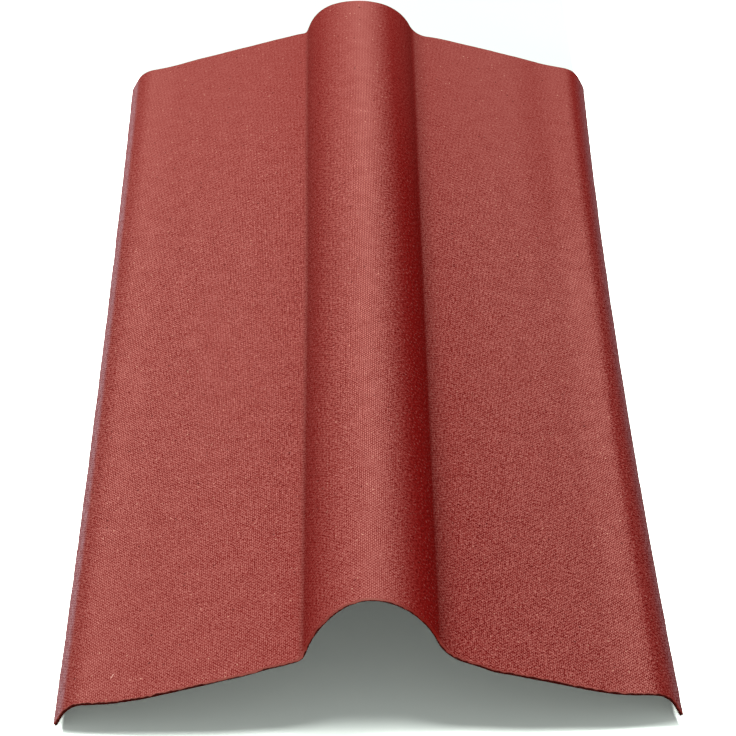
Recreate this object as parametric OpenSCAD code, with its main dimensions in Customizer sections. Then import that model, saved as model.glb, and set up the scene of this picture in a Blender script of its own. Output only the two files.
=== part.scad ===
// Ridge cap of bituminised fibre board.
// One pressed sheet: a round hump along the ridge, a wing down each slope and a
// turned-down lip along each long edge. Millimetres. The ridge runs along Y, Z is up,
// and the origin is at the middle of the piece, on the level that its lips stand on.

/* [Sheet] */
// Length along the ridge, on the wings
cap_l = 1000; // [400:10:2000]
// Width over both lips
cap_w = 490; // [440:5:700]
// Thickness of the board
sheet_t = 3; // [1.5:0.1:6]

/* [Hump] */
// Outside radius of the crown's left half
left_crown_r = 56; // [50:0.5:62]
// Slope of the left flank, in degrees
left_flank_slope = 70; // [60:0.5:80]
// Width of the left flank, from the crown's curve to the line where it would meet the wing
left_flank_w = 10.5; // [8:0.5:20]
// Outside radius of the crisp valley fold on the left of the hump
left_valley_r = 6; // [3:1:20]
// Outside radius of the crown's right half
right_crown_r = 59; // [50:0.5:66]
// Slope of the right flank, in degrees
right_flank_slope = 65; // [58:0.5:72]
// Outside radius of the soft valley fold on the right of the hump
right_valley_r = 30; // [3:1:48]

/* [Wings] */
// Slope of the wings, in degrees
wing_slope = 15.4; // [11:0.1:22]
// Slope of the strip beside each edge, where the wing levels out, in degrees
shoulder_slope = 8.5; // [0:0.5:10]
// Width of that strip
shoulder_w = 15; // [2:1:20]
// Radius of the curve that leads from the wing into that strip
shoulder_r = 150; // [40:5:180]

/* [Lips] */
// Outside radius of the bend into the lip
lip_r = 24; // [8:1:28]
// Slope of the lip, in degrees
lip_slope = 63; // [45:1:80]
// Width of the lip's flat, from the bend to its cut edge
lip_w = 12.5; // [3:0.5:20]

/* [Ends] */
// How far the crown stands back from the ends of the wings
crown_back = 18; // [2:1:40]
// Distance left of the ridge line over which an end curves back to the crown
left_crown_back_w = 70; // [40:1:100]
// Distance right of the ridge line over which it does so
right_crown_back_w = 98; // [40:1:110]
// How far the lips stand back from the ends of the wings
lip_back = 6; // [1:0.5:20]
// Distance from the cut edge of a lip over which an end curves back to it
lip_back_w = 80; // [30:1:100]

/* [Hidden] */

// Largest turn of one facet of a bend, in degrees
facet_turn = 3;
// Number of facets in each curve of an end
end_steps = 16;
// Room that the end cutters have past the sheet
cut_room = 20;

// A stretch of the section is [length, radius, slope at its start, slope at its end],
// and a flat stretch has no radius. Slopes fall away from the ridge.
function flat(length, slope) = [length, 0, slope, slope];
function bend(radius, from, to) = [0, radius, from, to];

// Sideways and upward run of a stretch
function run(s) = let (turn = sign(s[3] - s[2]))
    s[1] == 0
        ? [s[0] * cos(s[2]), -s[0] * sin(s[2])]
        : turn * s[1] * [sin(s[3]) - sin(s[2]), cos(s[3]) - cos(s[2])];

// Sideways run of several stretches
function reach(stretches) = [for (s = stretches) run(s)[0]] * [for (s = stretches) 1];

// Points [x, z, slope] of a stretch that starts at p, without its first point
function trace(s, p) = let (steps = s[1] == 0 ? 1 : ceil(abs(s[3] - s[2]) / facet_turn))
    [for (i = [1 : steps])
        let (slope = s[2] + (s[3] - s[2]) * i / steps,
             part = s[1] == 0 ? run(s) : run(bend(s[1], s[2], slope)))
        [p[0] + part[0], p[1] + part[1], slope]];

// Points of all stretches from number i on, each starting where the last one ends
function trace_all(stretches, p, i = 0) = i == len(stretches)
    ? []
    : let (points = trace(stretches[i], p))
        concat(points, trace_all(stretches, points[len(points) - 1], i + 1));

// How far under the crown the line of a wing, drawn on, meets the ridge's plane
wing_drop = left_crown_r * (1 - cos(left_flank_slope))
    + left_flank_w * sin(left_flank_slope)
    - tan(wing_slope)
        * (left_crown_r * sin(left_flank_slope) + left_flank_w * cos(left_flank_slope));

// The right flank is as wide as brings its wing to the same height
right_flank_w = max(0,
    (wing_drop - right_crown_r * (1 - cos(right_flank_slope))
        + tan(wing_slope) * right_crown_r * sin(right_flank_slope))
    / (sin(right_flank_slope) - tan(wing_slope) * cos(right_flank_slope)));

// From the crown to the wing; the fold always leaves a little of the flank flat
function hump(crown_r, slope, flank_w, valley_r) = let (
    corner = tan((slope - wing_slope) / 2),
    fold_r = min(valley_r, 0.99 * flank_w / corner)
) [
    bend(crown_r, 0, slope),
    flat(flank_w - fold_r * corner, slope),
    bend(fold_r, slope, wing_slope)
];
left_hump = hump(left_crown_r, left_flank_slope, left_flank_w, left_valley_r);
right_hump = hump(right_crown_r, right_flank_slope, right_flank_w, right_valley_r);

// From the wing to the cut edge
edge = [
    bend(shoulder_r, wing_slope, shoulder_slope),
    flat(shoulder_w, shoulder_slope),
    bend(lip_r, shoulder_slope, lip_slope),
    flat(lip_w, lip_slope)
];

// The wing takes what hump and edge leave of half the width
function wing_w(half_hump) =
    (cap_w / 2 - reach(half_hump) - reach(edge)) / cos(wing_slope);

// Outside of one half of the section, from the crown to the lip, below crown height
function half_outside(half_hump) = concat(
    [[0, 0, 0]],
    trace_all(concat(half_hump, [flat(wing_w(half_hump), wing_slope)], edge), [0, 0])
);

// Inside of it, a thickness under each outside point
function half_inside(outside) =
    [for (p = outside) [p[0] - sheet_t * sin(p[2]), p[1] - sheet_t * cos(p[2])]];

function turned_back(points) = [for (i = [len(points) - 1 : -1 : 0]) points[i]];
function without_first(points) = [for (i = [1 : len(points) - 1]) points[i]];
function mirrored(points) = [for (p = points) [-p[0], p[1]]];
function flat_points(points) = [for (p = points) [p[0], p[1]]];

right_outside = half_outside(right_hump);
left_outside = half_outside(left_hump);
right_inside = half_inside(right_outside);
left_inside = half_inside(left_outside);

// Height of the crown over the cut edge of the lower lip
crown_h = -min(right_inside[len(right_inside) - 1][1], left_inside[len(left_inside) - 1][1]);

// Distance that an end stands back at x from the ridge line, where the curve back to
// the crown starts at crown_w from it
function ease(share) = (1 - cos(180 * max(0, min(1, share)))) / 2;
function end_back(x, crown_w) = crown_back * ease(1 - x / crown_w)
    + lip_back * ease(1 - (cap_w / 2 - x) / lip_back_w);

// Points of one half of an end's line, with facets where the line curves
function steps_between(a, b) = [for (i = [0 : end_steps]) a + (b - a) * i / end_steps];
function end_half(crown_w) = [
    for (x = concat(
        steps_between(0, crown_w),
        steps_between(cap_w / 2 - lip_back_w, cap_w / 2)
    )) [x, end_back(x, crown_w)]
];

module section() {
    translate([0, crown_h])
        polygon(concat(
            flat_points(right_outside),
            turned_back(right_inside),
            mirrored(without_first(left_inside)),
            mirrored(turned_back(without_first(left_outside)))
        ));
}

// Waste that is cut off one end, seen from above; y runs from the end into the sheet
module end_waste() {
    side = cap_w / 2 + cut_room;
    polygon(concat(
        [[-side, -cut_room]],
        [[-side, lip_back]],
        mirrored(turned_back(without_first(end_half(left_crown_back_w)))),
        end_half(right_crown_back_w),
        [[side, lip_back]],
        [[side, -cut_room]]
    ));
}

module ridge_cap() {
    color("#9c4a44")
    difference() {
        translate([0, cap_l / 2, 0])
            rotate([90, 0, 0])
                linear_extrude(cap_l)
                    section();
        for (far_end = [0, 1])
            mirror([0, far_end, 0])
                translate([0, -cap_l / 2, -cut_room])
                    linear_extrude(crown_h + 2 * cut_room)
                        end_waste();
    }
}

ridge_cap();
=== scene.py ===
"""Dressed model of a bituminised fibre ridge cap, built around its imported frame.

The board is one pressed sheet: a round hump along the ridge, two flat wings and a
turned-down lip along each long edge. Its dressed surface is worked out here from the
section's bends, with the wire-mesh press marks, pits and torn cut edges of the real
board, and stands for the frame's solid. All lengths are in metres.
"""

from __future__ import annotations

import logging
import math
from dataclasses import dataclass, field
from enum import Enum
from typing import Any

import bpy
import numpy as np
from mathutils import Matrix, Vector

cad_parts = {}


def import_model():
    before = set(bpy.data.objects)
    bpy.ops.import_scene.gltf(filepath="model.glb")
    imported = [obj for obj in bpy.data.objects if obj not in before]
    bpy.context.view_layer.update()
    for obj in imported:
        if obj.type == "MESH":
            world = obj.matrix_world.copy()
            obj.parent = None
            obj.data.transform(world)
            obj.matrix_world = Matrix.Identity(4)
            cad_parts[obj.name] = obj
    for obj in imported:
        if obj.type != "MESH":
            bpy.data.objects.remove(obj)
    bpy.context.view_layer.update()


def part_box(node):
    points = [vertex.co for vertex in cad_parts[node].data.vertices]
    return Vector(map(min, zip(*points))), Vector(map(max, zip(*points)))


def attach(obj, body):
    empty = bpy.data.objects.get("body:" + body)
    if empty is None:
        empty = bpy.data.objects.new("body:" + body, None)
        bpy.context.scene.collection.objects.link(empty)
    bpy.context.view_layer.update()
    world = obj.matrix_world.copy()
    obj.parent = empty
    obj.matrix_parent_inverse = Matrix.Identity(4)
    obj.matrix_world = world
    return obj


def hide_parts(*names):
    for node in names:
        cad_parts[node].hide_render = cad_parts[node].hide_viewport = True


LOG = logging.getLogger("ridge_cap")

MM = 0.001
NODE = "ridge_cap"
BODY = "root"
SHEET_MAP = "sheet"
# Painted sheen: pale colour on the face that stands in for the sheen of light on it, by slope
# and side.
PAINTED_SHEEN = "painted_sheen"
# Pale dust along the lips, with a painted sheen of light in the same colour.
DUST_AND_SHEEN = "dust_and_sheen"
DEPTH = "depth"
# A wing's inner part ends at this many times its fold's distance from the ridge line.
WING_SPLIT = 2

# Makes a map range a smooth step from its first limit to its second one.
SMOOTH = {"interpolation_type": "SMOOTHSTEP"}

Array = np.ndarray
Node = bpy.types.Node
Socket = bpy.types.NodeSocket
Tree = bpy.types.NodeTree


# ---------------------------------------------------------------- colour and nodes


def linear(hex_colour: str) -> tuple[float, float, float, float]:
    """Turns an sRGB hex colour into linear RGBA.

    Args:
        hex_colour: Six hex digits after a hash, such as "#9c4a44".

    Returns:
        The colour's linear red, green and blue, and an alpha of 1.
    """
    parts = [int(hex_colour[i : i + 2], 16) / 255 for i in (1, 3, 5)]
    red, green, blue = [
        c / 12.92 if c <= 0.04045 else ((c + 0.055) / 1.055) ** 2.4 for c in parts
    ]
    return red, green, blue, 1.0


def add_node(
    tree: Tree, kind: str, inputs: dict[str, Any] | tuple[Any, ...] = (), **settings: Any
) -> Node:
    """Adds a node, sets its properties and fills or links its sockets.

    Args:
        tree: The node tree that gets the node.
        kind: The node's type, without "ShaderNode".
        inputs: For each socket, by name or in order, a value, an output to link from,
            or a node to link from at its first output in use.
        **settings: The node's own properties.

    Returns:
        The new node.
    """
    node = tree.nodes.new("ShaderNode" + kind)
    for name, value in settings.items():
        setattr(node, name, value)
    sockets = inputs if isinstance(inputs, dict) else dict(enumerate(inputs))
    for name, value in sockets.items():
        if isinstance(value, Node):
            value = next(output for output in value.outputs if output.enabled)
        if isinstance(value, Socket):
            tree.links.new(value, node.inputs[name])
        else:
            node.inputs[name].default_value = value
    return node


def empty_material(name: str) -> tuple[bpy.types.Material, Tree]:
    """Makes a material with an empty node tree.

    Args:
        name: The material's name.

    Returns:
        The material and its tree.
    """
    material = bpy.data.materials.new(name)
    material.use_nodes = True
    material.node_tree.nodes.clear()
    return material, material.node_tree


# ---------------------------------------------------------------- the section


class Side(Enum):
    """A side of the ridge line, with the sign of its x."""

    LEFT = -1
    RIGHT = 1


@dataclass(frozen=True)
class Stretch:
    """One bend or flat of the section, as it leaves the ridge.

    A flat has a radius of 0 and its slope at both ends; a bend has the length that its
    radius and turn give.
    """

    slope_from: float
    slope_to: float
    radius: float = 0.0
    flat_length: float = 0.0

    @property
    def length(self) -> float:
        """Length along the outside of the board."""
        return self.flat_length + self.radius * abs(self.slope_to - self.slope_from)

    @property
    def run(self) -> tuple[float, float]:
        """Sideways and upward run from its start to its end."""
        x, z, _ = self.at(np.array([self.length]))
        return float(x[0]), float(z[0])

    def at(self, s: Array) -> tuple[Array, Array, Array]:
        """Place and slope at distances along the stretch.

        On a flat the point moves along the slope. On a bend it moves round the centre:
        x = turn R (sin a - sin a0) and z = turn R (cos a - cos a0), where a is the slope
        reached and turn is 1 where the board bends down and -1 where it bends up.

        Args:
            s: Distances from the stretch's start.

        Returns:
            Sideways run, upward run and slope, as arrays like s.
        """
        start = self.slope_from
        if self.radius == 0:
            return s * math.cos(start), -s * math.sin(start), np.full_like(s, start)
        turn = math.copysign(1.0, self.slope_to - start)
        slope = start + turn * s / self.radius
        x = turn * self.radius * (np.sin(slope) - math.sin(start))
        z = turn * self.radius * (np.cos(slope) - math.cos(start))
        return x, z, slope


@dataclass(frozen=True)
class Section:
    """The board's section across the ridge; its outside sizes are those of the solid.

    From the ridge line out, a half is a crown, a flank, a valley fold, a wing, a wide
    bend to a flatter shoulder, and a lip that bends down from it to the cut edge.
    """

    width: float
    thickness: float = 3 * MM
    left_crown_radius: float = 56 * MM
    left_flank_slope: float = math.radians(70)
    left_flank_width: float = 10.5 * MM
    left_valley_radius: float = 6 * MM
    right_crown_radius: float = 59 * MM
    right_flank_slope: float = math.radians(65)
    right_valley_radius: float = 30 * MM
    wing_slope: float = math.radians(15.4)
    shoulder_slope: float = math.radians(8.5)
    shoulder_width: float = 15 * MM
    shoulder_radius: float = 150 * MM
    lip_radius: float = 24 * MM
    lip_slope: float = math.radians(63)
    lip_width: float = 12.5 * MM

    @property
    def right_flank_width(self) -> float:
        """Width of the right flank, which brings its wing to the left one's height.

        Both wings' lines, drawn on, meet the ridge's plane at the same depth under the
        crown: R (1 - cos a) + w sin a - tan b (R sin a + w cos a), where R is the crown's
        radius, a the flank's slope, w its width and b the wing's slope.

        Returns:
            The width, up to the line where flank and wing would meet unbent.
        """
        left, right = self.left_flank_slope, self.right_flank_slope
        fall = math.tan(self.wing_slope)
        drop = self.left_crown_radius * (1 - math.cos(left) - fall * math.sin(left))
        drop += self.left_flank_width * (math.sin(left) - fall * math.cos(left))
        curve = self.right_crown_radius * (1 - math.cos(right) - fall * math.sin(right))
        return (drop - curve) / (math.sin(right) - fall * math.cos(right))

    def hump(self, side: Side) -> list[Stretch]:
        """The crown, the flank and the valley fold of one half.

        The flank's width is up to the line where it would meet the wing unbent, so the
        fold takes its radius times the tangent of half its turn from it.

        Args:
            side: Which half.

        Returns:
            The three stretches, from the ridge line.
        """
        if side is Side.LEFT:
            crown, valley = self.left_crown_radius, self.left_valley_radius
            slope, width = self.left_flank_slope, self.left_flank_width
        else:
            crown, valley = self.right_crown_radius, self.right_valley_radius
            slope, width = self.right_flank_slope, self.right_flank_width
        flank = width - valley * math.tan((slope - self.wing_slope) / 2)
        return [
            Stretch(0.0, slope, crown),
            Stretch(slope, slope, flat_length=flank),
            Stretch(slope, self.wing_slope, valley),
        ]

    def stretches(self, side: Side) -> list[Stretch]:
        """The bends and flats of one half, from the crown to the lip's cut edge.

        The wing takes what the other stretches leave of half the width.

        Args:
            side: Which half.

        Returns:
            The stretches, from the ridge line.
        """
        hump = self.hump(side)
        edge = [
            Stretch(self.wing_slope, self.shoulder_slope, self.shoulder_radius),
            Stretch(self.shoulder_slope, self.shoulder_slope, flat_length=self.shoulder_width),
            Stretch(self.shoulder_slope, self.lip_slope, self.lip_radius),
            Stretch(self.lip_slope, self.lip_slope, flat_length=self.lip_width),
        ]
        reach = sum(part.run[0] for part in hump + edge)
        wing = (self.width / 2 - reach) / math.cos(self.wing_slope)
        return hump + [Stretch(self.wing_slope, self.wing_slope, flat_length=wing)] + edge

    def developed(self, side: Side) -> float:
        """Length of one half along the outside of the board."""
        return sum(part.length for part in self.stretches(side))

    def crown_height(self) -> float:
        """Height of the crown over the lower corner of a lip's cut edge."""
        drop = -sum(part.run[1] for part in self.stretches(Side.RIGHT))
        return drop + self.thickness * math.cos(self.lip_slope)

    def place(self, u: Array) -> tuple[Array, Array, Array]:
        """Outside surface at developed distances from the ridge line.

        Each stretch of a half starts where the one before it ends, and the first one at
        the crown. The left half runs to negative x.

        Args:
            u: Signed distances along the board, negative on the left.

        Returns:
            x, z and the slope, which falls away from the ridge, as arrays like u.
        """
        x = np.zeros_like(u)
        z = np.full_like(u, self.crown_height())
        slope = np.zeros_like(u)
        for side in Side:
            start = 0.0
            x0, z0 = 0.0, self.crown_height()
            s = u * side.value
            for part in self.stretches(side):
                here = s > start
                dx, dz, a = part.at(np.where(here, s - start, 0.0))
                x = np.where(here, side.value * (x0 + dx), x)
                z = np.where(here, z0 + dz, z)
                slope = np.where(here, a, slope)
                x0, z0 = x0 + part.run[0], z0 + part.run[1]
                start += part.length
        return x, z, slope


# ---------------------------------------------------------------- irregularities


@dataclass(frozen=True)
class Waver:
    """A smooth random line: a sum of sines with random phases, the same each run.

    The height is the line's root mean square, and uneven is how far a sine's share of it
    may be off its even one.
    """

    seed: int
    height: float
    longest: float
    shortest: float
    count: int = 24
    uneven: float = 0.4

    def at(self, s: Array) -> Array:
        """Height of the line at places s.

        The sines' wavelengths run evenly in their logarithm from longest to shortest,
        and each one's share goes with the root of its wavelength.

        Args:
            s: Distances along the line.

        Returns:
            The heights, as an array like s.
        """
        rng = np.random.default_rng(self.seed)
        wave = np.geomspace(self.longest, self.shortest, self.count)
        phase = rng.uniform(0, 2 * np.pi, self.count)
        share = np.sqrt(wave) * rng.uniform(1 - self.uneven, 1 + self.uneven, self.count)
        share *= self.height * math.sqrt(2) / np.sqrt((share**2).sum())
        waves = np.sin(2 * np.pi * s[..., None] / wave + phase)
        return (waves * share).sum(-1)


def ease(share: Array) -> Array:
    """Half a cosine wave, from 0 at a share of 0 to 1 at a share of 1."""
    return (1 - np.cos(np.pi * np.clip(share, 0, 1))) / 2


def graded(count: int, tightness: float) -> Array:
    """Shares from 0 to 1 that lie closer together near both ends.

    Args:
        count: How many shares.
        tightness: 0 for even steps, towards 1 for ends without a step.

    Returns:
        The shares: t less tightness times sin(2 pi t) / (2 pi).
    """
    t = np.linspace(0, 1, count)
    return t - tightness * np.sin(2 * np.pi * t) / (2 * np.pi)


# ---------------------------------------------------------------- finishes


@dataclass(frozen=True)
class Specks:
    """Small spots scattered over a surface, one in some cells of a random pattern.

    The spacing is a cell's size, the radius is the largest spot's, and the share is the
    part of the cells that hold one. The shift moves the pattern aside, so that two kinds
    of specks don't share their cells, and the soft rim is a share of the radius.
    """

    colour: str
    spacing: float
    radius: float
    share: float
    strength: float
    shift: float
    rim: float = 0.25

    def mask(self, tree: Tree, place: Socket) -> Node:
        """1 inside a spot and 0 outside.

        Each cell of the pattern gets a random number. Where it is below the share, a
        spot sits at the cell's point, the larger the smaller the number.

        Args:
            tree: The material's tree.
            place: Where the pattern is read.

        Returns:
            The mask.
        """
        aside = (self.shift, self.shift, 0)
        moved = add_node(tree, "VectorMath", (place, aside), operation="ADD")
        cells = add_node(tree, "TexVoronoi", {"Vector": moved, "Scale": 1 / self.spacing})
        pick = add_node(tree, "SeparateColor", (cells.outputs["Color"],))
        largest = self.radius / self.spacing
        size = add_node(tree, "MapRange", (pick, 0.0, self.share, largest, 0.0))
        inside = add_node(
            tree, "Math", (size, cells.outputs["Distance"]), operation="SUBTRACT"
        )
        return add_node(tree, "MapRange", (inside, 0.0, self.rim * largest), **SMOOTH)


@dataclass(frozen=True)
class StrayFibre:
    """One short fibre that lies stuck to a surface, at a place on its pattern.

    It is turned clockwise from the ridge, and its soft rim is a share of its width.
    """

    colour: str
    middle: tuple[float, float]
    turn: float
    length: float
    width: float
    rim: float = 0.3

    def mask(self, tree: Tree, place: Socket) -> Node:
        """1 on the fibre and 0 off it.

        The way from its middle, taken along the fibre and across it, is compared with
        half its length and half its width.

        Args:
            tree: The material's tree.
            place: Where the pattern is read.

        Returns:
            The mask.
        """
        middle = (*self.middle, 0)
        away = add_node(tree, "VectorMath", (place, middle), operation="SUBTRACT")
        sine, cosine = math.sin(self.turn), math.cos(self.turn)
        within = []
        for axis, reach in (
            ((sine, cosine, 0), self.length / 2),
            ((cosine, -sine, 0), self.width / 2),
        ):
            way = add_node(tree, "VectorMath", (away, axis), operation="DOT_PRODUCT")
            way = add_node(tree, "Math", (way.outputs["Value"],), operation="ABSOLUTE")
            core = reach - self.rim * self.width
            within.append(add_node(tree, "MapRange", (way, reach, core), **SMOOTH))
        return add_node(tree, "Math", tuple(within), operation="MULTIPLY")


@dataclass(frozen=True)
class MeshPrint:
    """The print of the woven wire mesh that the wet board was pressed on.

    It is a plain weave of 16 wires to the inch, pressed better in some patches than in
    others. It is fullest at a middling painted sheen: the fading power takes it away where
    the painted sheen is thin, and the full sheen height lowers it where it is strong.
    """

    pitch: float = 1.5875 * MM
    knuckle: float = 0.7
    long_rib: float = 1.0
    cross_rib: float = 0.15
    drift_size: float = 45 * MM
    drift: float = 0.5 * MM
    patch_size: float = 3.2 * MM
    patch_gain: float = 1.9
    patch_loss: float = 0.2
    fading: float = 0.2
    sheenless_height: float = 1.4
    full_sheen_height: float = 0.87

    def weave(self, tree: Tree, place: Socket) -> Node:
        """Relief of an even print, from about -1 to 1.

        With a and b the places across and along in half turns per wire, the knuckles are
        cos a cos b and the ribs are cos^2 a and cos^2 b. A slow drift bends the wires.

        Args:
            tree: The material's tree.
            place: Where the print is read.

        Returns:
            The relief.
        """
        drift = add_node(
            tree, "TexNoise", {"Vector": place, "Scale": 1 / self.drift_size, "Detail": 1.0}
        )
        drift = drift.outputs["Color"]
        moved = add_node(tree, "VectorMath", (drift, (-0.5, -0.5, -0.5)), operation="ADD")
        bend = (self.drift, self.drift, 0)
        moved = add_node(tree, "VectorMath", (moved, bend, place), operation="MULTIPLY_ADD")
        scale = {"Vector": moved, "Scale": math.pi / self.pitch}
        turns = add_node(tree, "VectorMath", scale, operation="SCALE")
        axes = add_node(tree, "SeparateXYZ", (turns,)).outputs
        across = add_node(tree, "Math", (axes["X"],), operation="COSINE")
        along = add_node(tree, "Math", (axes["Y"],), operation="COSINE")
        relief = add_node(tree, "Math", (across, along), operation="MULTIPLY")
        relief = add_node(tree, "Math", (relief, self.knuckle), operation="MULTIPLY")
        for wave, height in ((across, self.long_rib), (along, self.cross_rib)):
            rib = add_node(tree, "Math", (wave, wave, -0.5), operation="MULTIPLY_ADD")
            relief = add_node(tree, "Math", (rib, height, relief), operation="MULTIPLY_ADD")
        return relief

    def relief(self, tree: Tree, place: Socket, painted_sheen: Socket) -> Node:
        """Relief of the print as it came out.

        The even print is multiplied by its patches' strength, by the painted sheen to the
        fading power, and by the height that goes from sheenless to full sheen with it.

        Args:
            tree: The material's tree.
            place: Where the print is read.
            painted_sheen: How strong the painted sheen is.

        Returns:
            The relief.
        """
        patch = add_node(
            tree, "TexNoise", {"Vector": place, "Scale": 1 / self.patch_size, "Detail": 1.0}
        )
        strength = add_node(
            tree, "Math", (patch, self.patch_gain, -self.patch_loss), operation="MULTIPLY_ADD"
        )
        thin = add_node(tree, "Math", (painted_sheen, self.fading), operation="POWER")
        strength = add_node(tree, "Math", (strength, thin), operation="MULTIPLY")
        change = self.full_sheen_height - self.sheenless_height
        height = (painted_sheen, change, self.sheenless_height)
        height = add_node(tree, "Math", height, operation="MULTIPLY_ADD")
        strength = add_node(tree, "Math", (strength, height), operation="MULTIPLY")
        weave = self.weave(tree, place)
        return add_node(tree, "Math", (weave, strength), operation="MULTIPLY")


@dataclass(frozen=True)
class Rough:
    """A layer of noise in the relief, lower where the painted sheen is strong."""

    size: float
    detail: float
    sheenless_height: float
    full_sheen_height: float

    def over(self, tree: Tree, place: Socket, painted_sheen: Socket, relief: Node) -> Node:
        """Adds the layer to a relief.

        The noise, less a half, is multiplied by a height that goes from sheenless to full
        sheen with the painted sheen.

        Args:
            tree: The material's tree.
            place: Where the noise is read.
            painted_sheen: How strong the painted sheen is.
            relief: What the layer goes on.

        Returns:
            The relief with the layer.
        """
        scale = {"Vector": place, "Scale": 1 / self.size, "Detail": self.detail}
        wave = add_node(tree, "TexNoise", scale)
        wave = add_node(tree, "Math", (wave, 0.5), operation="SUBTRACT")
        change = self.full_sheen_height - self.sheenless_height
        height = (painted_sheen, change, self.sheenless_height)
        height = add_node(tree, "Math", height, operation="MULTIPLY_ADD")
        return add_node(tree, "Math", (wave, height, relief), operation="MULTIPLY_ADD")


@dataclass(frozen=True)
class PressedFace:
    """Pigmented bitumen-fibre board, pressed wet on woven wire mesh.

    The pigment coat is dead matte, deep red, darker in the hollows of the print, where that
    is painted shade and partly darker pigment, and pale on its knuckles, where that is
    painted sheen and partly chalk, with dark pits and pale grains here and there, and one
    pale hair near the left wing's near corner. The painted sheen and the print are strong
    on the flat parts and weak on the steep ones, and pale dust with a painted sheen lies
    along the lips. Where the face is worn, print and chalk are fainter. A pair of limits
    is where a smooth step starts and where it ends.
    """

    pigment: str = "#8a1714"
    # Darker red of the print's hollows: painted shade in them, and partly darker pigment.
    hollow_shade_and_pigment: str = "#680c0b"
    # Pale colour of the knuckles: painted sheen where the painted sheen lays it, and chalk.
    knuckle: str = "#e19388"
    # Pale mauve of the lips: dust, and a painted sheen of light at their grazing slope.
    dust_and_sheen: str = "#d5aeb7"
    roughness: float = 0.85
    specular: float = 0.0
    print_depth: float = 0.16 * MM
    mesh: MeshPrint = MeshPrint()
    fibre: Rough = Rough(2.4 * MM, 2.0, 6.5, 0.4)
    grit: Rough = Rough(0.9 * MM, 1.0, 7.0, 2.4)
    patch_size: float = 16 * MM
    patchiness: float = 0.5
    far_wear: float = 0.64
    far_wear_limits: tuple[float, float] = (0.0, 500 * MM)
    near_wear: float = 0.34
    near_wear_limits: tuple[float, float] = (-150 * MM, -500 * MM)
    near_wear_side: tuple[float, float] = (70 * MM, 30 * MM)
    hollow_limits: tuple[float, float] = (-1.1, 0.2)
    knuckle_limits: tuple[float, float] = (-0.75, 1.1)
    chalk_size: float = 2.2 * MM
    chalk_limits: tuple[float, float] = (0.5, 0.78)
    chalk: float = 0.45
    dust_and_sheen_limits: tuple[float, float] = (-1.2, 1.0)
    streak_width: float = 1.5 * MM
    streak_squeeze: float = 0.12
    streak_limits: tuple[float, float] = (0.3, 0.7)
    streak_least: float = 0.5
    pits: Specks = Specks("#4a0d0c", 6 * MM, 1.1 * MM, 0.35, 0.8, 0.0)
    grains: Specks = Specks("#f6b39c", 4.5 * MM, 0.85 * MM, 0.50, 0.85, 0.37)
    # Share of pale grains kept where there is no painted sheen.
    grains_without_sheen: float = 0.1
    hair: StrayFibre = StrayFibre(
        "#ffc2b2", (-227.2 * MM, -476.0 * MM), math.radians(24), 5.2 * MM, 0.9 * MM
    )

    def kept(self, tree: Tree, place: Socket) -> Node:
        """Share of the print and chalk that wear has left.

        It is 1, less the far wear towards the far end, and less the near wear towards
        the near end on the left wing and the hump.

        Args:
            tree: The material's tree.
            place: Developed place on the sheet.

        Returns:
            The share.
        """
        axes = add_node(tree, "SeparateXYZ", (place,)).outputs
        far = add_node(tree, "MapRange", (axes["Y"], *self.far_wear_limits), **SMOOTH)
        near = add_node(tree, "MapRange", (axes["Y"], *self.near_wear_limits), **SMOOTH)
        side = add_node(tree, "MapRange", (axes["X"], *self.near_wear_side), **SMOOTH)
        near = add_node(tree, "Math", (near, side), operation="MULTIPLY")
        kept = add_node(tree, "Math", (far, -self.far_wear, 1.0), operation="MULTIPLY_ADD")
        return add_node(
            tree, "Math", (near, -self.near_wear, kept), operation="MULTIPLY_ADD"
        )

    def coat(self, tree: Tree, place: Socket, painted_sheen: Socket, tone: Node, kept: Node) -> Node:
        """Colour of the coat: hollows with painted shade, pigment, and knuckles under painted
        sheen and chalk.

        It goes from the hollow's colour, which is painted shade and partly darker pigment, to
        the pigment's with the tone. The knuckle's colour then covers it by the painted sheen
        plus the chalk, which lies in patches, times a step of the tone.

        Args:
            tree: The material's tree.
            place: Developed place on the sheet.
            painted_sheen: How strong the painted sheen is.
            tone: The relief that the colour follows.
            kept: Share that wear has left.

        Returns:
            The colour.
        """
        # The hollows' darker red is painted shade, and partly darker pigment.
        above = add_node(tree, "MapRange", (tone, *self.hollow_limits), **SMOOTH)
        colours = {"A": linear(self.hollow_shade_and_pigment), "B": linear(self.pigment)}
        colour = add_node(tree, "Mix", {"Factor": above, **colours}, data_type="RGBA")
        chalk = add_node(
            tree, "TexNoise", {"Vector": place, "Scale": 1 / self.chalk_size, "Detail": 2.0}
        )
        chalk = add_node(tree, "MapRange", (chalk, *self.chalk_limits), **SMOOTH)
        chalk = add_node(tree, "Math", (chalk, kept), operation="MULTIPLY")
        # The knuckles' pale colour is a painted sheen, plus chalk in patches.
        thick = add_node(tree, "Math", (chalk, self.chalk, painted_sheen), operation="MULTIPLY_ADD")
        raised = add_node(tree, "MapRange", (tone, *self.knuckle_limits), **SMOOTH)
        share = add_node(tree, "Math", (raised, thick), operation="MULTIPLY")
        mixed = {"Factor": share, "A": colour, "B": linear(self.knuckle)}
        return add_node(tree, "Mix", mixed, data_type="RGBA")

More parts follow.
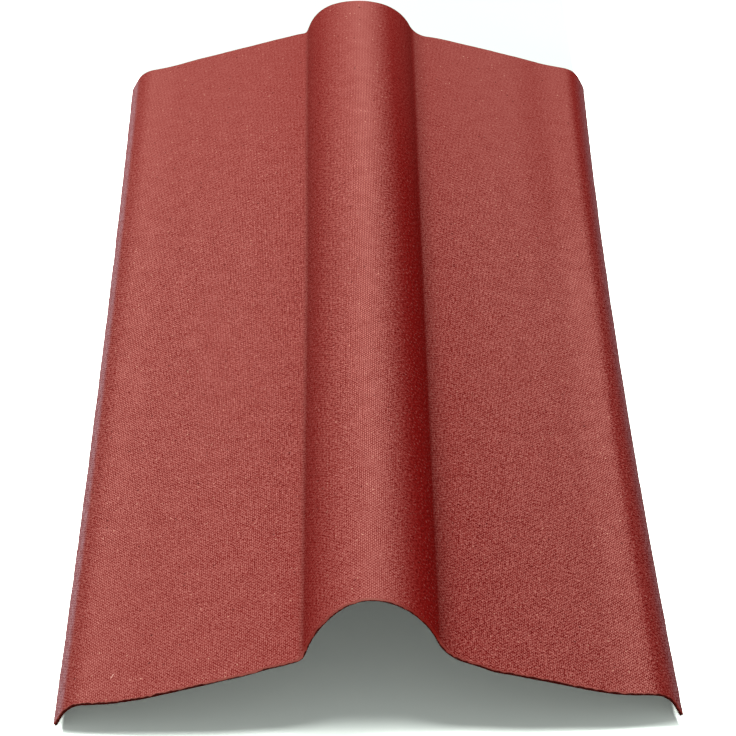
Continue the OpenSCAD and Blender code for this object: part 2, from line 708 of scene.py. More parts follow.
    def dusted_and_sheened(self, tree: Tree, place: Socket, tone: Node, colour: Node) -> Node:
        """Lays the lips' pale dust and painted sheen, raised parts first, in streaks along the
        board.

        The streaks are noise on a place that is squeezed along the board, plus a least.
        They multiply the sheet's dust and painted sheen and a step of the tone.

        Args:
            tree: The material's tree.
            place: Developed place on the sheet.
            tone: The relief that the colour follows.
            colour: Colour of the clean board.

        Returns:
            The colour with its dust and painted sheen.
        """
        squeeze = (1.0, self.streak_squeeze, 1.0)
        squeezed = add_node(tree, "VectorMath", (place, squeeze), operation="MULTIPLY")
        scale = {"Vector": squeezed, "Scale": 1 / self.streak_width, "Detail": 2.0}
        streaks = add_node(tree, "TexNoise", scale)
        streaks = add_node(tree, "MapRange", (streaks, *self.streak_limits), **SMOOTH)
        streaks = add_node(tree, "Math", (streaks, self.streak_least), operation="ADD")
        raised = add_node(tree, "MapRange", (tone, *self.dust_and_sheen_limits), **SMOOTH)
        share = add_node(tree, "Math", (raised, streaks), operation="MULTIPLY")
        # Pale dust with a painted sheen, along the lips.
        dust_and_sheen = add_node(tree, "Attribute", attribute_name=DUST_AND_SHEEN).outputs["Fac"]
        share = add_node(tree, "Math", (share, dust_and_sheen), operation="MULTIPLY")
        mixed = {"Factor": share, "A": colour, "B": linear(self.dust_and_sheen)}
        return add_node(tree, "Mix", mixed, data_type="RGBA")

    def flecked(self, tree: Tree, place: Socket, painted_sheen: Socket, colour: Node) -> Node:
        """Adds the dark pits, and the pale grains, which are fewer where the painted sheen is
        thin.

        Args:
            tree: The material's tree.
            place: Developed place on the sheet.
            painted_sheen: How strong the painted sheen is.
            colour: Colour without the specks.

        Returns:
            The colour with them.
        """
        often = (painted_sheen, 1 - self.grains_without_sheen, self.grains_without_sheen)
        often = add_node(tree, "Math", often, operation="MULTIPLY_ADD")
        for specks, where in ((self.pits, 1.0), (self.grains, often)):
            share = (specks.mask(tree, place), specks.strength)
            share = add_node(tree, "Math", share, operation="MULTIPLY")
            share = add_node(tree, "Math", (share, where), operation="MULTIPLY")
            mixed = {"Factor": share, "A": colour, "B": linear(specks.colour)}
            colour = add_node(tree, "Mix", mixed, data_type="RGBA")
        return colour

    def build(self) -> bpy.types.Material:
        """Makes the material, which reads the sheet's UV map, its painted sheen, and its lips'
        dust and painted sheen.

        The tone is the relief plus wide, faint patches. Colour and bump follow tone and
        relief, both less what wear has taken.

        Returns:
            The material.
        """
        material, tree = empty_material("bitumen_board_pressed_face")
        place = add_node(tree, "UVMap", uv_map=SHEET_MAP).outputs["UV"]
        # Painted sheen: pale colour for the sheen of light, by slope and side.
        painted_sheen = add_node(tree, "Attribute", attribute_name=PAINTED_SHEEN).outputs["Fac"]
        kept = self.kept(tree, place)
        relief = self.mesh.relief(tree, place, painted_sheen)
        for rough in (self.fibre, self.grit):
            relief = rough.over(tree, place, painted_sheen, relief)
        patch = add_node(
            tree, "TexNoise", {"Vector": place, "Scale": 1 / self.patch_size, "Detail": 2.0}
        )
        patch = add_node(tree, "Math", (patch, 0.5), operation="SUBTRACT")
        tone = add_node(
            tree, "Math", (patch, self.patchiness, relief), operation="MULTIPLY_ADD"
        )
        tone = add_node(tree, "Math", (tone, kept), operation="MULTIPLY")
        relief = add_node(tree, "Math", (relief, kept), operation="MULTIPLY")
        colour = self.coat(tree, place, painted_sheen, tone, kept)
        colour = self.dusted_and_sheened(tree, place, tone, colour)
        colour = self.flecked(tree, place, painted_sheen, colour)
        hair = self.hair.mask(tree, place)
        mixed = {"Factor": hair, "A": colour, "B": linear(self.hair.colour)}
        colour = add_node(tree, "Mix", mixed, data_type="RGBA")
        relief = add_node(tree, "Math", (relief, hair), operation="ADD")
        height = {"Height": relief, "Strength": 1.0, "Distance": self.print_depth / 2}
        bump = add_node(tree, "Bump", height)
        surface = {
            "Base Color": colour,
            "Roughness": self.roughness,
            "Specular IOR Level": self.specular,
            "Normal": bump,
        }
        shader = add_node(tree, "BsdfPrincipled", surface)
        add_node(tree, "OutputMaterial", (shader,))
        return material


@dataclass(frozen=True)
class FeltFace:
    """Bitumen-soaked fibre board without pigment, as it leaves the felt side.

    It is dark brown, mottled where pulp flocks lie, and softly uneven to the touch.
    """

    fibre: str = "#2b1d18"
    flock: str = "#4a372e"
    roughness: float = 0.75
    flock_size: float = 3.5 * MM
    flock_limits: tuple[float, float] = (0.35, 0.75)
    flock_height: float = 0.25 * MM
    flock_bump: float = 0.8

    def build(self) -> bpy.types.Material:
        """Makes the material, mottled at the size of pulp flocks.

        Returns:
            The material.
        """
        material, tree = empty_material("bitumen_board_felt_face")
        place = add_node(tree, "UVMap", uv_map=SHEET_MAP)
        flock = add_node(
            tree, "TexNoise", {"Vector": place, "Scale": 1 / self.flock_size, "Detail": 3.0}
        )
        share = add_node(tree, "MapRange", (flock, *self.flock_limits), **SMOOTH)
        mixed = {"Factor": share, "A": linear(self.fibre), "B": linear(self.flock)}
        colour = add_node(tree, "Mix", mixed, data_type="RGBA")
        height = {
            "Height": flock,
            "Strength": self.flock_bump,
            "Distance": self.flock_height,
        }
        bump = add_node(tree, "Bump", height)
        surface = {"Base Color": colour, "Roughness": self.roughness, "Normal": bump}
        shader = add_node(tree, "BsdfPrincipled", surface)
        add_node(tree, "OutputMaterial", (shader,))
        return material


@dataclass(frozen=True)
class CutFace:
    """Sheared bitumen board: the blade drags pigment over the top of a black core.

    The drag is the share of the thickness that the pigment covers. It wavers along the
    cut, and over the hump and a little to its left it is more by the hump's own drag. The
    dragged pigment is paler where the face's painted sheen is, which paints that sheen
    on the cut too.
    """

    core: str = "#3a0d0a"
    tuft: str = "#55201a"
    dragged: str = "#7c1c17"
    # Dragged pigment under the face's full painted sheen.
    dragged_with_sheen: str = "#b0645a"
    roughness: float = 0.85
    specular: float = 0.0
    drag: float = 0.26
    drag_blend: float = 0.1
    waver_size: float = 5 * MM
    waver: float = 1.2
    hump_drag: float = 0.38
    hump_middle: float = -30 * MM
    hump_limits: tuple[float, float] = (120 * MM, 70 * MM)
    tuft_size: float = 1.6 * MM
    tuft_limits: tuple[float, float] = (0.5, 0.8)
    tuft_height: float = 0.3 * MM

    def build(self) -> bpy.types.Material:
        """Makes the material, which reads the depth under the face, from 0 to 1.

        Returns:
            The material.
        """
        material, tree = empty_material("bitumen_board_cut_face")
        place = add_node(tree, "TexCoord").outputs["Object"]
        scale = {"Vector": place, "Scale": 1 / self.tuft_size, "Detail": 2.0}
        tufts = add_node(tree, "TexNoise", scale)
        share = add_node(tree, "MapRange", (tufts, *self.tuft_limits), **SMOOTH)
        mixed = {"Factor": share, "A": linear(self.core), "B": linear(self.tuft)}
        torn = add_node(tree, "Mix", mixed, data_type="RGBA")
        # The face's painted sheen, carried onto the dragged pigment.
        painted_sheen = add_node(tree, "Attribute", attribute_name=PAINTED_SHEEN).outputs["Fac"]
        mixed = {"Factor": painted_sheen, "A": linear(self.dragged), "B": linear(self.dragged_with_sheen)}
        pulled = add_node(tree, "Mix", mixed, data_type="RGBA")
        mixed = {"Factor": self.bare(tree, place), "A": pulled, "B": torn}
        colour = add_node(tree, "Mix", mixed, data_type="RGBA")
        height = {"Height": tufts, "Strength": 1.0, "Distance": self.tuft_height}
        bump = add_node(tree, "Bump", height)
        surface = {
            "Base Color": colour,
            "Roughness": self.roughness,
            "Specular IOR Level": self.specular,
            "Normal": bump,
        }
        shader = add_node(tree, "BsdfPrincipled", surface)
        add_node(tree, "OutputMaterial", (shader,))
        return material

    def bare(self, tree: Tree, place: Socket) -> Node:
        """0 where the dragged pigment covers the cut and 1 where the torn core shows.

        A smooth step about the drag, of the depth plus the waver's noise and less the
        hump's own drag.

        Args:
            tree: The material's tree.
            place: Place on the board.

        Returns:
            The mask.
        """
        depth = add_node(tree, "Attribute", attribute_name=DEPTH).outputs["Fac"]
        waver = add_node(
            tree, "TexNoise", {"Vector": place, "Scale": 1 / self.waver_size, "Detail": 2.0}
        )
        waver = add_node(tree, "Math", (waver, 0.5), operation="SUBTRACT")
        reached = add_node(
            tree, "Math", (waver, self.waver, depth), operation="MULTIPLY_ADD"
        )
        across = add_node(tree, "SeparateXYZ", (place,)).outputs["X"]
        aside = add_node(tree, "Math", (across, self.hump_middle), operation="SUBTRACT")
        aside = add_node(tree, "Math", (aside,), operation="ABSOLUTE")
        hump = add_node(tree, "MapRange", (aside, *self.hump_limits), **SMOOTH)
        reached = add_node(
            tree, "Math", (hump, -self.hump_drag, reached), operation="MULTIPLY_ADD"
        )
        limits = (self.drag - self.drag_blend, self.drag + self.drag_blend)
        return add_node(tree, "MapRange", (reached, *limits), **SMOOTH)


# ---------------------------------------------------------------- the board


class Finish(Enum):
    """A finish of the board, with the number of its material."""

    PRESSED = 0
    FELT = 1
    CUT = 2


@dataclass(frozen=True)
class PaintedSheen:
    """How strong the painted sheen is on one half of the board, from 0 to about 1.

    It is pale colour that stands in for the sheen of light on the board. On the hump it
    thins with the slope until the sheenless slope, softly or not, but not under the least.
    At the fold it comes back to what the wing's slope gives, less the fold's shade, a
    painted shade which dies out away from the fold. On the lip it thins no more where the
    slope is past the lip's level. A value that starts with far is added at the far end
    and taken off at the near one, but a soft half's far least is only added. The fold's
    shift moves its line out, and the lip's shift moves the lip's bend in.
    """

    sheenless_slope: float
    soft: bool
    least: float
    far_least: float
    fold_shade: float
    far_fold_shade: float
    fold_shift: float
    far_fold_shift: float
    lip_level: float
    lip_shift: float
    fold_reach: float = 50 * MM
    fold_blend: float = 6 * MM
    thinning: float = 1.6

    def on(self, slope: Array) -> Array:
        """Painted sheen that a slope keeps.

        It is 1 - t to the thinning's power, where t is the slope over the sheenless slope, or
        the ease of that where the painted sheen thins softly.

        Args:
            slope: Slopes of the board.

        Returns:
            The painted sheen, as an array like slope.
        """
        t = np.clip(slope / self.sheenless_slope, 0, 1)
        return (1 - (ease(t) if self.soft else t)) ** self.thinning

    def at(self, s: Array, slope: Array, along: Array, fold: float, wing: float) -> Array:
        """Painted sheen at places of this half.

        It goes, by an eased step at the fold's line, from the hump's painted sheen to the
        outer one, which is multiplied by 1 less the fold's painted shade. That shade falls by
        the exponential of the distance from the line over the fold's reach.

        Args:
            s: Developed distances from the ridge line.
            slope: Slopes at those places.
            along: Places along the ridge, from -1 at the near end to 1 at the far one.
            fold: Developed distance at which the flank turns into the fold.
            wing: The wing's slope.

        Returns:
            The painted sheen, as an array like s.
        """
        line = fold + self.fold_shift + self.far_fold_shift * along
        drift = ease(along) if self.soft else along
        hump = np.maximum(self.on(slope), self.least + self.far_least * drift)
        level = np.where(s < WING_SPLIT * fold, wing, self.lip_level)
        outer = self.on(np.minimum(slope, level))
        # Painted shade along the fold: the painted sheen is cut back next to it.
        bare = self.fold_shade + self.far_fold_shade * along
        outer *= 1 - bare * np.exp(-np.maximum(s - line, 0) / self.fold_reach)
        return hump + (outer - hump) * ease((s - line) / self.fold_blend + 0.5)


@dataclass(frozen=True)
class DustAndSheenStrip:
    """Pale dust with a painted sheen along one lip: its share, the strip's width and how
    softly it ends.
    """

    share: float
    width: float
    blend: float


@dataclass(frozen=True)
class EndCut:
    """How one cut end of the board departs from a straight, square cut.

    It stands back by the crown's back over the hump, and out by the wings' out over the
    wings. The skew moves its right corner towards the far end and its left corner
    towards the near one.
    """

    crown_back: float
    wings_out: float
    skew: float
    waver: Waver


@dataclass
class Board:
    """The pressed sheet, as one closed surface over its section and its length.

    A draw moves a fold towards the ridge line at the near end, and a waist moves a long
    edge towards it at mid-length. Less painted sheen lies on the right shoulder's far
    part. Draws, sheen fades and sheen losses lie at developed distances from the ridge
    line, and along the ridge at shares of half the length, from -1 at the near end to 1 at
    the far one.
    Torn depths are shares of the thickness.
    """

    low: Vector
    high: Vector
    columns: int = 281
    rows: int = 150
    crowding: float = 0.75
    near_end: EndCut = EndCut(
        16 * MM, 2.2 * MM, 5.4 * MM, Waver(3, 0.15 * MM, 150 * MM, 3 * MM)
    )
    far_end: EndCut = EndCut(18 * MM, 0.0, 3.5 * MM, Waver(4, 0.15 * MM, 150 * MM, 3 * MM))
    left_crown_back_width: float = 70 * MM
    right_crown_back_width: float = 98 * MM
    wings_out_from: float = 80 * MM
    wings_out_blend: float = 20 * MM
    lip_back: float = 6 * MM
    lip_back_width: float = 80 * MM
    left_edge: Waver = Waver(5, 0.35 * MM, 120 * MM, 6 * MM)
    right_edge: Waver = Waver(6, 0.35 * MM, 120 * MM, 6 * MM)
    edge_trim: float = 0.3 * MM
    edge_reach: float = 6 * MM
    left_draw: float = 2.4 * MM
    right_draw: float = 0.4 * MM
    draw_full: float = 75 * MM
    draw_end: float = 175 * MM
    draw_blend: float = 90 * MM
    draw_until: float = 0.9
    left_waist: float = 2.6 * MM
    right_waist: float = 7.0 * MM
    torn_depths: tuple[float, ...] = (0.12, 0.38, 0.66, 0.9)
    torn_reach: tuple[float, float] = (-0.05 * MM, 0.35 * MM)
    torn_seed: int = 11
    # Each half's painted sheen, with painted shade along its fold.
    left_sheen: PaintedSheen = PaintedSheen(
        sheenless_slope=math.radians(90),
        soft=False,
        least=0.235,
        far_least=0.07,
        fold_shade=0.28,
        far_fold_shade=0.0,
        fold_shift=-3.8 * MM,
        far_fold_shift=0.6 * MM,
        lip_level=math.radians(31),
        lip_shift=0.0,
    )
    right_sheen: PaintedSheen = PaintedSheen(
        sheenless_slope=math.radians(52),
        soft=True,
        least=0.0,
        far_least=0.14,
        fold_shade=0.46,
        far_fold_shade=-0.2,
        fold_shift=3.2 * MM,
        far_fold_shift=4.5 * MM,
        lip_level=math.radians(30),
        lip_shift=4.5 * MM,
    )
    lip_shift_until: float = 0.3
    lip_shift_blend: float = 0.8
    # The painted sheen grows towards the far end and fades towards the near one, most on the
    # right.
    near_sheen_fade: float = 0.07
    right_sheen_fade: float = 0.07
    right_sheen_fade_reach: float = 100 * MM
    # Less painted sheen on the right shoulder's far part, which is darker there.
    shoulder_sheen_loss: float = 0.24
    shoulder_sheen_loss_from: float = 175 * MM
    shoulder_sheen_loss_blend: float = 40 * MM
    shoulder_sheen_loss_far_from: float = 0.1
    shoulder_sheen_loss_far_blend: float = 0.4
    # Pale dust with a painted sheen along each lip.
    left_dust_and_sheen: DustAndSheenStrip = DustAndSheenStrip(0.6, 20 * MM, 8 * MM)
    right_dust_and_sheen: DustAndSheenStrip = DustAndSheenStrip(0.46, 26 * MM, 26 * MM)
    section: Section = field(init=False)

    def __post_init__(self) -> None:
        """Gives the section the width of the frame's box."""
        self.section = Section(width=self.high.x - self.low.x)

    def stands_back(self, end: EndCut, across: Array, x: Array) -> Array:
        """How far an end stands back from the box of the solid, without its skew.

        It is a bump over the hump, plus one at each lip, less a step over the wings, plus
        the cut's waver.

        Args:
            end: The cut end.
            across: Developed distances from the ridge line.
            x: Sideways places of the same points.

        Returns:
            The distances, as an array like x.
        """
        away = np.abs(x)
        width = np.where(x < 0, self.left_crown_back_width, self.right_crown_back_width)
        crown = ease(1 - away / width)
        wings = ease((away - self.wings_out_from) / self.wings_out_blend)
        lips = ease(1 - (self.section.width / 2 - away) / self.lip_back_width)
        back = end.crown_back * crown + self.lip_back * lips
        return back - end.wings_out * wings + end.waver.at(across)

    def grid(self) -> tuple[Array, Array]:
        """Developed place of each grid point.

        Columns run across from the left lip to the right one, and each row shares out
        the length between the two cut ends of its column, closer near the ends. Both
        ends are cut a little out of square, and the outermost columns waver with the
        cut of the long edges.

        Returns:
            u and v, each of shape (rows, columns).
        """
        left = -self.section.developed(Side.LEFT)
        right = self.section.developed(Side.RIGHT)
        across = left + (right - left) * np.linspace(0, 1, self.columns)
        x, _, _ = self.section.place(across)
        aside = x / self.high.x
        near = self.low.y + self.stands_back(self.near_end, across, x)
        near += self.near_end.skew * aside
        far = self.high.y - self.stands_back(self.far_end, across, x)
        far += self.far_end.skew * aside
        share = graded(self.rows, self.crowding)[:, None]
        v = near + (far - near) * share
        u = np.broadcast_to(across, v.shape).copy()
        left_trim = self.edge_trim + self.left_edge.at(v)
        right_trim = self.edge_trim + self.right_edge.at(v)
        u += np.exp((left - u) / self.edge_reach) * left_trim
        u -= np.exp((u - right) / self.edge_reach) * right_trim
        return u, v

    def surface(self, u: Array, v: Array, depth: Array | float) -> Array:
        """Points of the board, depth below its outside.

        The outside comes from the section, and a point goes inwards along its normal.
        The folds are drawn in along the wing's slope, less and less towards the far
        end. Each wing is then drawn in towards the ridge at mid-length, by a parabola
        along the length that grows with the square of the distance from the ridge.

        Args:
            u: Developed distance from the ridge line.
            v: Place along the ridge.
            depth: Depth under the outside.

        Returns:
            Points, of u's shape and three coordinates.
        """
        x, z, slope = self.section.place(u)
        side, away, along = np.sign(u), np.abs(u), v / self.high.y
        x = x - depth * np.sin(slope) * side
        z = z - depth * np.cos(slope)
        draw = np.where(u < 0, self.left_draw, self.right_draw)
        draw = draw * ease(away / self.draw_full) * ease(self.draw_until - along)
        draw *= ease((self.draw_end - away) / self.draw_blend)
        x = x - side * draw
        z = z + draw * math.tan(self.section.wing_slope)
        waist = np.where(u < 0, self.left_waist, self.right_waist)
        reach = x / (self.section.width / 2)
        x = x - side * waist * (1 - along**2) * reach**2
        return np.stack([x, v, np.maximum(z, 0.0)], -1)

    def painted_sheen(self, u: Array, v: Array) -> Array:
        """How strong the painted sheen is at developed places.

        Each half has its own painted sheen. On the near half a lip loses it from farther in
        than where it bends, by the lip's shift. It is thicker at the far end and thinner at
        the near one by the sheen fade, which is most on the right and none on the outer left,
        and the right shoulder's far part loses some of it.

        Args:
            u: Developed distances from the ridge line.
            v: Places along the ridge.

        Returns:
            The painted sheen, as an array like u.
        """
        along = v / self.high.y
        nearer = ease((self.lip_shift_until - along) / self.lip_shift_blend)
        thick = np.zeros_like(u)
        for side, painted_sheen in ((Side.LEFT, self.left_sheen), (Side.RIGHT, self.right_sheen)):
            s = u * side.value
            fold = sum(part.length for part in self.section.hump(side)[:2])
            shift = painted_sheen.lip_shift * ease(s / fold - WING_SPLIT) * nearer
            _, _, slope = self.section.place(u + side.value * shift)
            here = painted_sheen.at(s, slope, along, fold, self.section.wing_slope)
            thick = np.where(s >= 0, here, thick)
        # Painted sheen grows towards the far end and fades towards the near one.
        right = np.clip(u / self.right_sheen_fade_reach, -1, 1)
        fade = self.near_sheen_fade + self.right_sheen_fade * right
        # Painted sheen taken off the right shoulder's far part.
        shoulder_sheen_loss = self.shoulder_sheen_loss * ease((u - self.shoulder_sheen_loss_from) / self.shoulder_sheen_loss_blend)
        shoulder_sheen_loss *= ease((along - self.shoulder_sheen_loss_far_from) / self.shoulder_sheen_loss_far_blend)
        return thick * (1 + fade * along) * (1 - shoulder_sheen_loss)

    def dust_and_sheen(self, u: Array) -> Array:
        """How much pale dust and painted sheen lie on: none, but for a strip along each cut
        edge.

        It goes by an eased step from none at the strip's inner line to the strip's share.

        Args:
            u: Developed distances from the ridge line.

        Returns:
            The share of dust and painted sheen, as an array like u.
        """
        thick = np.zeros_like(u)
        for side, strip in ((Side.LEFT, self.left_dust_and_sheen), (Side.RIGHT, self.right_dust_and_sheen)):
            inside = self.section.developed(side) - u * side.value
            here = strip.share * ease((strip.width - inside) / strip.blend)
            thick = np.where(u * side.value >= 0, here, thick)
        return thick

    def torn(self, u: Array, v: Array, number: Array, ring: Array) -> list[Array]:
        """Points of the torn cut, one loop round the board for each torn depth.

        A point lies under its rim point and a little off it, outwards from the board, by
        a random reach.

        Args:
            u: Developed distance from the ridge line of each grid point.
            v: Place along the ridge of each grid point.
            number: Number of each grid point.
            ring: Numbers of the rim's points, in order round the board.

        Returns:
            The loops' points.
        """
        rng = np.random.default_rng(self.torn_seed)
        out_u = 1.0 * np.isin(ring, number[:, -1]) - np.isin(ring, number[:, 0])
        out_v = 1.0 * np.isin(ring, number[-1]) - np.isin(ring, number[0])
        rim_u, rim_v = u.ravel()[ring], v.ravel()[ring]
        loops = []
        for depth in self.torn_depths:
            reach = rng.uniform(*self.torn_reach, ring.size)
            deep = depth * self.section.thickness
            loops.append(self.surface(rim_u + out_u * reach, rim_v + out_v * reach, deep))
        return loops

    def faces(self, number: Array, ring: Array) -> tuple[Array, Array]:
        """Faces between the points: outside, inside and the cut's walls.

        The inside's points follow the outside's, and then the torn loops' come. A wall
        runs from one loop round the board to the next one down.

        Args:
            number: Number of each grid point.
            ring: Numbers of the rim's points, in order round the board.

        Returns:
            Four vertex numbers and a material number for each face.
        """
        a, b = number[:-1, :-1].ravel(), number[:-1, 1:].ravel()
        c, d = number[1:, 1:].ravel(), number[1:, :-1].ravel()
        outside = np.stack([a, b, c, d], -1)
        inside = np.stack([a, d, c, b], -1) + number.size
        count = len(self.torn_depths)
        torn = 2 * number.size + np.arange(count * ring.size).reshape(count, ring.size)
        loops = [ring, *torn, ring + number.size]
        walls = np.concatenate(
            [
                np.stack([upper, lower, np.roll(lower, -1), np.roll(upper, -1)], -1)
                for upper, lower in zip(loops, loops[1:])
            ]
        )
        kinds = [Finish.PRESSED.value, Finish.FELT.value, Finish.CUT.value]
        counts = [len(outside), len(inside), len(walls)]
        return np.concatenate([outside, inside, walls]), np.repeat(kinds, counts)

    def mesh(self) -> bpy.types.Mesh:
        """Builds the closed mesh: outside, inside and the torn cut between them.

        Returns:
            The mesh, with the developed sheet as its UV map, three materials, and the
            painted sheen, the lips' dust and painted sheen, and the depth as attributes.
        """
        u, v = self.grid()
        number = np.arange(u.size).reshape(u.shape)
        ring = np.concatenate(
            [number[0, :-1], number[:-1, -1], number[-1, :0:-1], number[:0:-1, 0]]
        )
        outside = self.surface(u, v, 0.0).reshape(-1, 3)
        inside = self.surface(u, v, self.section.thickness).reshape(-1, 3)
        points = np.concatenate([outside, inside, *self.torn(u, v, number, ring)])
        sheet = np.stack([u.ravel(), v.ravel()], -1)
        loops = len(self.torn_depths)
        flat = np.concatenate([sheet, sheet] + [sheet[ring]] * loops)
        counts = [u.size, u.size] + [ring.size] * loops
        depth = np.repeat([0.0, 1.0, *self.torn_depths], counts)
        mesh = self.to_mesh(points, *self.faces(number, ring), flat)
        for name, value in (
            (PAINTED_SHEEN, self.painted_sheen(flat[:, 0], flat[:, 1])),
            (DUST_AND_SHEEN, self.dust_and_sheen(flat[:, 0])),
            (DEPTH, depth),
        ):
            layer = mesh.attributes.new(name, "FLOAT", "POINT")
            layer.data.foreach_set("value", value.astype(np.float32))
        return mesh

    @staticmethod
    def to_mesh(points: Array, faces: Array, kinds: Array, flat: Array) -> bpy.types.Mesh:
        """Puts arrays into a mesh.

        An edge is sharp where the two faces that share it have different materials.

        Args:
            points: Place of each vertex.
            faces: Four vertex numbers for each face.
            kinds: Material number of each face.
            flat: Developed place of each vertex, for the UV map.

        Returns:
            The mesh, smooth but for the edges where two materials meet.
        """
        mesh = bpy.data.meshes.new("ridge_cap_board")
        mesh.vertices.add(len(points))
        mesh.vertices.foreach_set("co", points.astype(np.float32).ravel())
        mesh.loops.add(faces.size)
        mesh.loops.foreach_set("vertex_index", faces.astype(np.int32).ravel())
        mesh.polygons.add(len(faces))
        mesh.polygons.foreach_set(
            "loop_start", np.arange(0, faces.size, 4, dtype=np.int32)
        )
        mesh.polygons.foreach_set("material_index", kinds.astype(np.int32))
        mesh.update(calc_edges=True)
        layer = mesh.uv_layers.new(name=SHEET_MAP)
        layer.uv.foreach_set("vector", flat[faces.ravel()].astype(np.float32).ravel())
        mesh.polygons.foreach_set("use_smooth", np.ones(len(faces), bool))
        sharp = mesh.attributes.new("sharp_edge", "BOOLEAN", "EDGE")
        kind_pair = np.full((len(mesh.edges), 2), -1)
        edge_of_loop = np.empty(faces.size, np.int32)
        mesh.loops.foreach_get("edge_index", edge_of_loop)
        kind_of_loop = np.repeat(kinds, 4)
        # The last loop written to an edge stays, so both orders find both of its faces.
        kind_pair[edge_of_loop, 0] = kind_of_loop
        kind_pair[edge_of_loop[::-1], 1] = kind_of_loop[::-1]
        sharp.data.foreach_set("value", kind_pair[:, 0] != kind_pair[:, 1])
        mesh.validate()
        return mesh

    def build(self) -> bpy.types.Object:
        """Makes the board's object, dresses it and ties it to the frame.

        Returns:
            The object.
        """
        board = bpy.data.objects.new("ridge_cap_board", self.mesh())
        bpy.context.scene.collection.objects.link(board)
        finishes = {
            Finish.PRESSED: PressedFace(),
            Finish.FELT: FeltFace(),
            Finish.CUT: CutFace(),
        }
        for kind in Finish:
            board.data.materials.append(finishes[kind].build())
        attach(board, BODY)
        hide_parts(NODE)
        return board


# ---------------------------------------------------------------- the studio


@dataclass(frozen=True)
class SoftBox:
    """A round area lamp, of a diameter and in watts, aimed at the middle of the floor."""

    name: str
    place: tuple[float, float, float]
    size: float
    power: float

    def build(self) -> None:
        """Makes the lamp."""
        data = bpy.data.lights.new(self.name, "AREA")
        data.shape = "DISK"
        data.size = self.size
        data.energy = self.power
        lamp = bpy.data.objects.new(self.name, data)
        lamp.location = self.place
        lamp.rotation_euler = (-Vector(self.place)).to_track_quat("-Z", "Y").to_euler()
        bpy.context.scene.collection.objects.link(lamp)


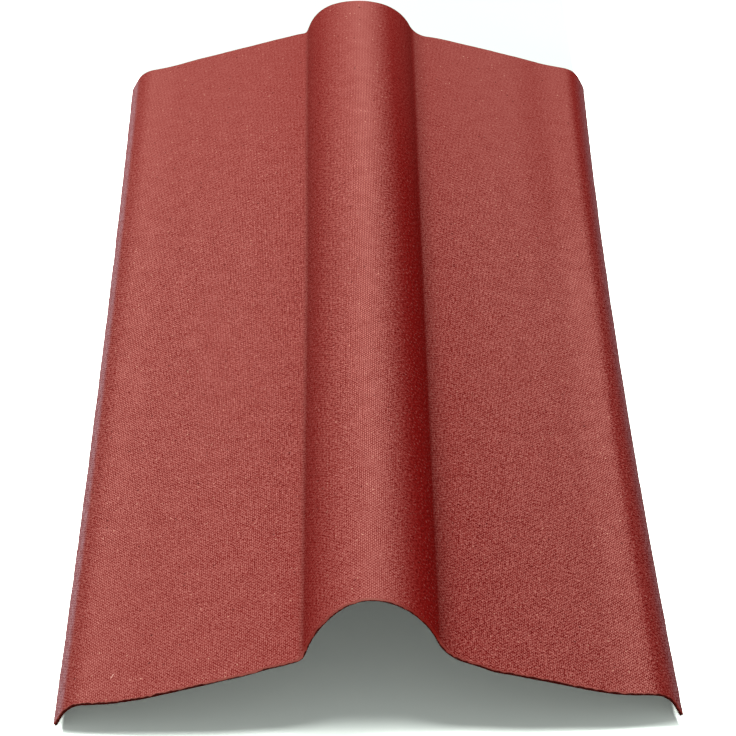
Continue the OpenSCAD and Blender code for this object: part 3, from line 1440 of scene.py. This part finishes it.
@dataclass
class Studio:
    """A pale floor, soft light from above and the camera.

    The floor's colour is multiplied by its lift where rays see it, and more by its painted
    light where it lies open: light painted over the board's shadow, so that its shade ends
    at a front line before the board's near end, and at half the shade's width beside it.
    A pair is where a smooth step starts and ends, and a pair named soft is taken from the
    line itself.
    """

    floor_half: float = 6.0
    floor_colour: str = "#e8f3ec"
    floor_lift: float = 1.24
    # Painted light: the floor's colour is lifted to white over the board's shadow where it
    # lies open.
    floor_painted_light: float = 4.5
    shade_front: float = -509.0 * MM
    shade_tilt: float = 0.0128
    front_soft: tuple[float, float] = (-5.5 * MM, 8 * MM)
    foot_limits: tuple[float, float] = (130 * MM, 60 * MM)
    foot_soft: float = -4 * MM
    hump_limits: tuple[float, float] = (75 * MM, 15 * MM)
    hump_soft: tuple[float, float] = (-13.4 * MM, 16 * MM)
    shade_half: float = 237.5 * MM
    side_soft: tuple[float, float] = (-1 * MM, 2 * MM)
    corner_out: float = 5 * MM
    corner_limits: tuple[float, float] = (-485 * MM, -510 * MM)
    corner_side: tuple[float, float] = (0.0, 1 * MM)
    sky: float = 0.378
    lamps: tuple[SoftBox, ...] = (
        SoftBox("soft_box_above", (-0.55, 0.5, 2.6), 1.1, 48.2),
        SoftBox("soft_box_front", (0.0, -3.2, 0.7), 1.1, 28.6),
    )
    camera_place: tuple[float, float, float] = (-0.02995, -1.98668, 1.40199)
    pitch: float = math.radians(35.545)
    yaw: float = math.radians(1.00)
    roll: float = math.radians(0.58)
    lens: float = 127.73
    sensor: float = 36.0
    sight: float = 50.0

    @staticmethod
    def seen(tree: Tree) -> Node:
        """1 for rays from the camera, mirrors and glass, and 0 for the light's own.

        Args:
            tree: The tree of the floor's material or of the sky.

        Returns:
            The mask.
        """
        path = add_node(tree, "LightPath").outputs
        rays = (path["Is Camera Ray"], path["Is Glossy Ray"])
        rays = add_node(tree, "Math", rays, operation="MAXIMUM")
        rays = (rays, path["Is Transmission Ray"])
        return add_node(tree, "Math", rays, operation="MAXIMUM")

    def before(self, tree: Tree, x: Socket, y: Socket, aside: Node) -> Node:
        """1 on the floor before the board's near end, where light is painted over its shadow,
        and 0 behind the shade's front line.

        The line runs a little askew and is soft. In front of the hump and its feet it
        starts farther in, and in front of the hump it is several times as wide.

        Args:
            tree: The floor's material's tree.
            x: Place across.
            y: Place along.
            aside: Distance from the ridge's plane.

        Returns:
            The mask.
        """
        line = (x, self.shade_tilt, self.shade_front)
        line = add_node(tree, "Math", line, operation="MULTIPLY_ADD")
        ahead = add_node(tree, "Math", (line, y), operation="SUBTRACT")
        foot = add_node(tree, "MapRange", (aside, *self.foot_limits), **SMOOTH)
        hump = add_node(tree, "MapRange", (aside, *self.hump_limits), **SMOOTH)
        start = (foot, self.foot_soft, self.front_soft[0])
        start = add_node(tree, "Math", start, operation="MULTIPLY_ADD")
        start = (hump, self.hump_soft[0], start)
        start = add_node(tree, "Math", start, operation="MULTIPLY_ADD")
        end = (hump, self.hump_soft[1], self.front_soft[1])
        end = add_node(tree, "Math", end, operation="MULTIPLY_ADD")
        return add_node(tree, "MapRange", (ahead, start, end), **SMOOTH)

    def beside(self, tree: Tree, x: Socket, y: Socket, aside: Node) -> Node:
        """1 on the floor beside the board, where light is painted over its shadow, and 0 under
        it.

        The limit turns out a little at the near right corner.

        Args:
            tree: The floor's material's tree.
            x: Place across.
            y: Place along.
            aside: Distance from the ridge's plane.

        Returns:
            The mask.
        """
        near = add_node(tree, "MapRange", (y, *self.corner_limits), **SMOOTH)
        right = add_node(tree, "MapRange", (x, *self.corner_side), **SMOOTH)
        corner = add_node(tree, "Math", (near, right), operation="MULTIPLY")
        past = (corner, -self.corner_out, aside)
        past = add_node(tree, "Math", past, operation="MULTIPLY_ADD")
        start, end = (self.shade_half + soft for soft in self.side_soft)
        return add_node(tree, "MapRange", (past, start, end), **SMOOTH)

    def painted_light_floor(self, tree: Tree) -> Node:
        """1 on the floor beside the board and before its near end, where light is painted over
        its shadow, 0 under it.

        Args:
            tree: The floor's material's tree.

        Returns:
            The mask.
        """
        place = add_node(tree, "TexCoord").outputs["Object"]
        axes = add_node(tree, "SeparateXYZ", (place,)).outputs
        aside = add_node(tree, "Math", (axes["X"],), operation="ABSOLUTE")
        before = self.before(tree, axes["X"], axes["Y"], aside)
        beside = self.beside(tree, axes["X"], axes["Y"], aside)
        return add_node(tree, "Math", (before, beside), operation="MAXIMUM")

    def build_floor(self) -> None:
        """Makes the floor, which keeps the object's shadow under the board, with light painted
        over that shadow before and beside the board.
        """
        mesh = bpy.data.meshes.new("floor")
        h = self.floor_half
        mesh.from_pydata([(-h, -h, 0), (h, -h, 0), (h, h, 0), (-h, h, 0)], [], [(0, 1, 2, 3)])
        floor = bpy.data.objects.new("floor", mesh)
        bpy.context.scene.collection.objects.link(floor)
        material, tree = empty_material("matte_white_floor")
        # Painted light over the board's shadow where the floor lies open.
        more = (self.painted_light_floor(tree), self.floor_painted_light, self.floor_lift - 1)
        more = add_node(tree, "Math", more, operation="MULTIPLY_ADD")
        lift = add_node(tree, "Math", (self.seen(tree), more, 1.0), operation="MULTIPLY_ADD")
        scale = {"Vector": linear(self.floor_colour)[:3], "Scale": lift}
        colour = add_node(tree, "VectorMath", scale, operation="SCALE")
        shader = add_node(tree, "BsdfDiffuse", {"Color": colour})
        add_node(tree, "OutputMaterial", (shader,))
        mesh.materials.append(material)

    def build_world(self) -> None:
        """Makes an even sky that is white to the camera and in reflections."""
        world = bpy.data.worlds.new("studio_sky")
        bpy.context.scene.world = world
        world.use_nodes = True
        tree = world.node_tree
        tree.nodes.clear()
        levels = {"Value": self.seen(tree), "To Min": self.sky, "To Max": 1.0}
        strength = add_node(tree, "MapRange", levels)
        light = {"Color": (1, 1, 1, 1), "Strength": strength}
        sky = add_node(tree, "Background", light)
        add_node(tree, "OutputWorld", (sky,))

    def build_camera(self) -> None:
        """Makes the camera from its place, pitch below the level, yaw and roll."""
        cos_p, sin_p = math.cos(self.pitch), math.sin(self.pitch)
        cos_y, sin_y = math.cos(self.yaw), math.sin(self.yaw)
        ahead = Vector((sin_y * cos_p, cos_y * cos_p, -sin_p))
        level = Vector((cos_y, -sin_y, 0.0))
        upright = level.cross(ahead)
        cos_r, sin_r = math.cos(self.roll), math.sin(self.roll)
        right = level * cos_r + upright * sin_r
        up = upright * cos_r - level * sin_r
        data = bpy.data.cameras.new("camera")
        data.lens = self.lens
        data.sensor_width = self.sensor
        data.clip_end = self.sight
        camera = bpy.data.objects.new("camera", data)
        turn = Matrix((right, up, -ahead)).transposed().to_4x4()
        camera.matrix_world = Matrix.Translation(Vector(self.camera_place)) @ turn
        bpy.context.scene.collection.objects.link(camera)
        bpy.context.scene.camera = camera

    def build(self) -> None:
        """Makes the camera, the floor, the sky and the lamps."""
        self.build_camera()
        self.build_floor()
        self.build_world()
        for lamp in self.lamps:
            lamp.build()
        bpy.context.scene.view_settings.view_transform = "Standard"


def main() -> None:
    """Loads the frame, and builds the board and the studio."""
    logging.basicConfig(level=logging.INFO, format="%(name)s: %(message)s")
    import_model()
    Studio().build()
    low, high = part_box(NODE)
    board = Board(low=low, high=high).build()
    LOG.info("%s: %d faces", board.name, len(board.data.polygons))


if __name__ == "__main__":
    main()
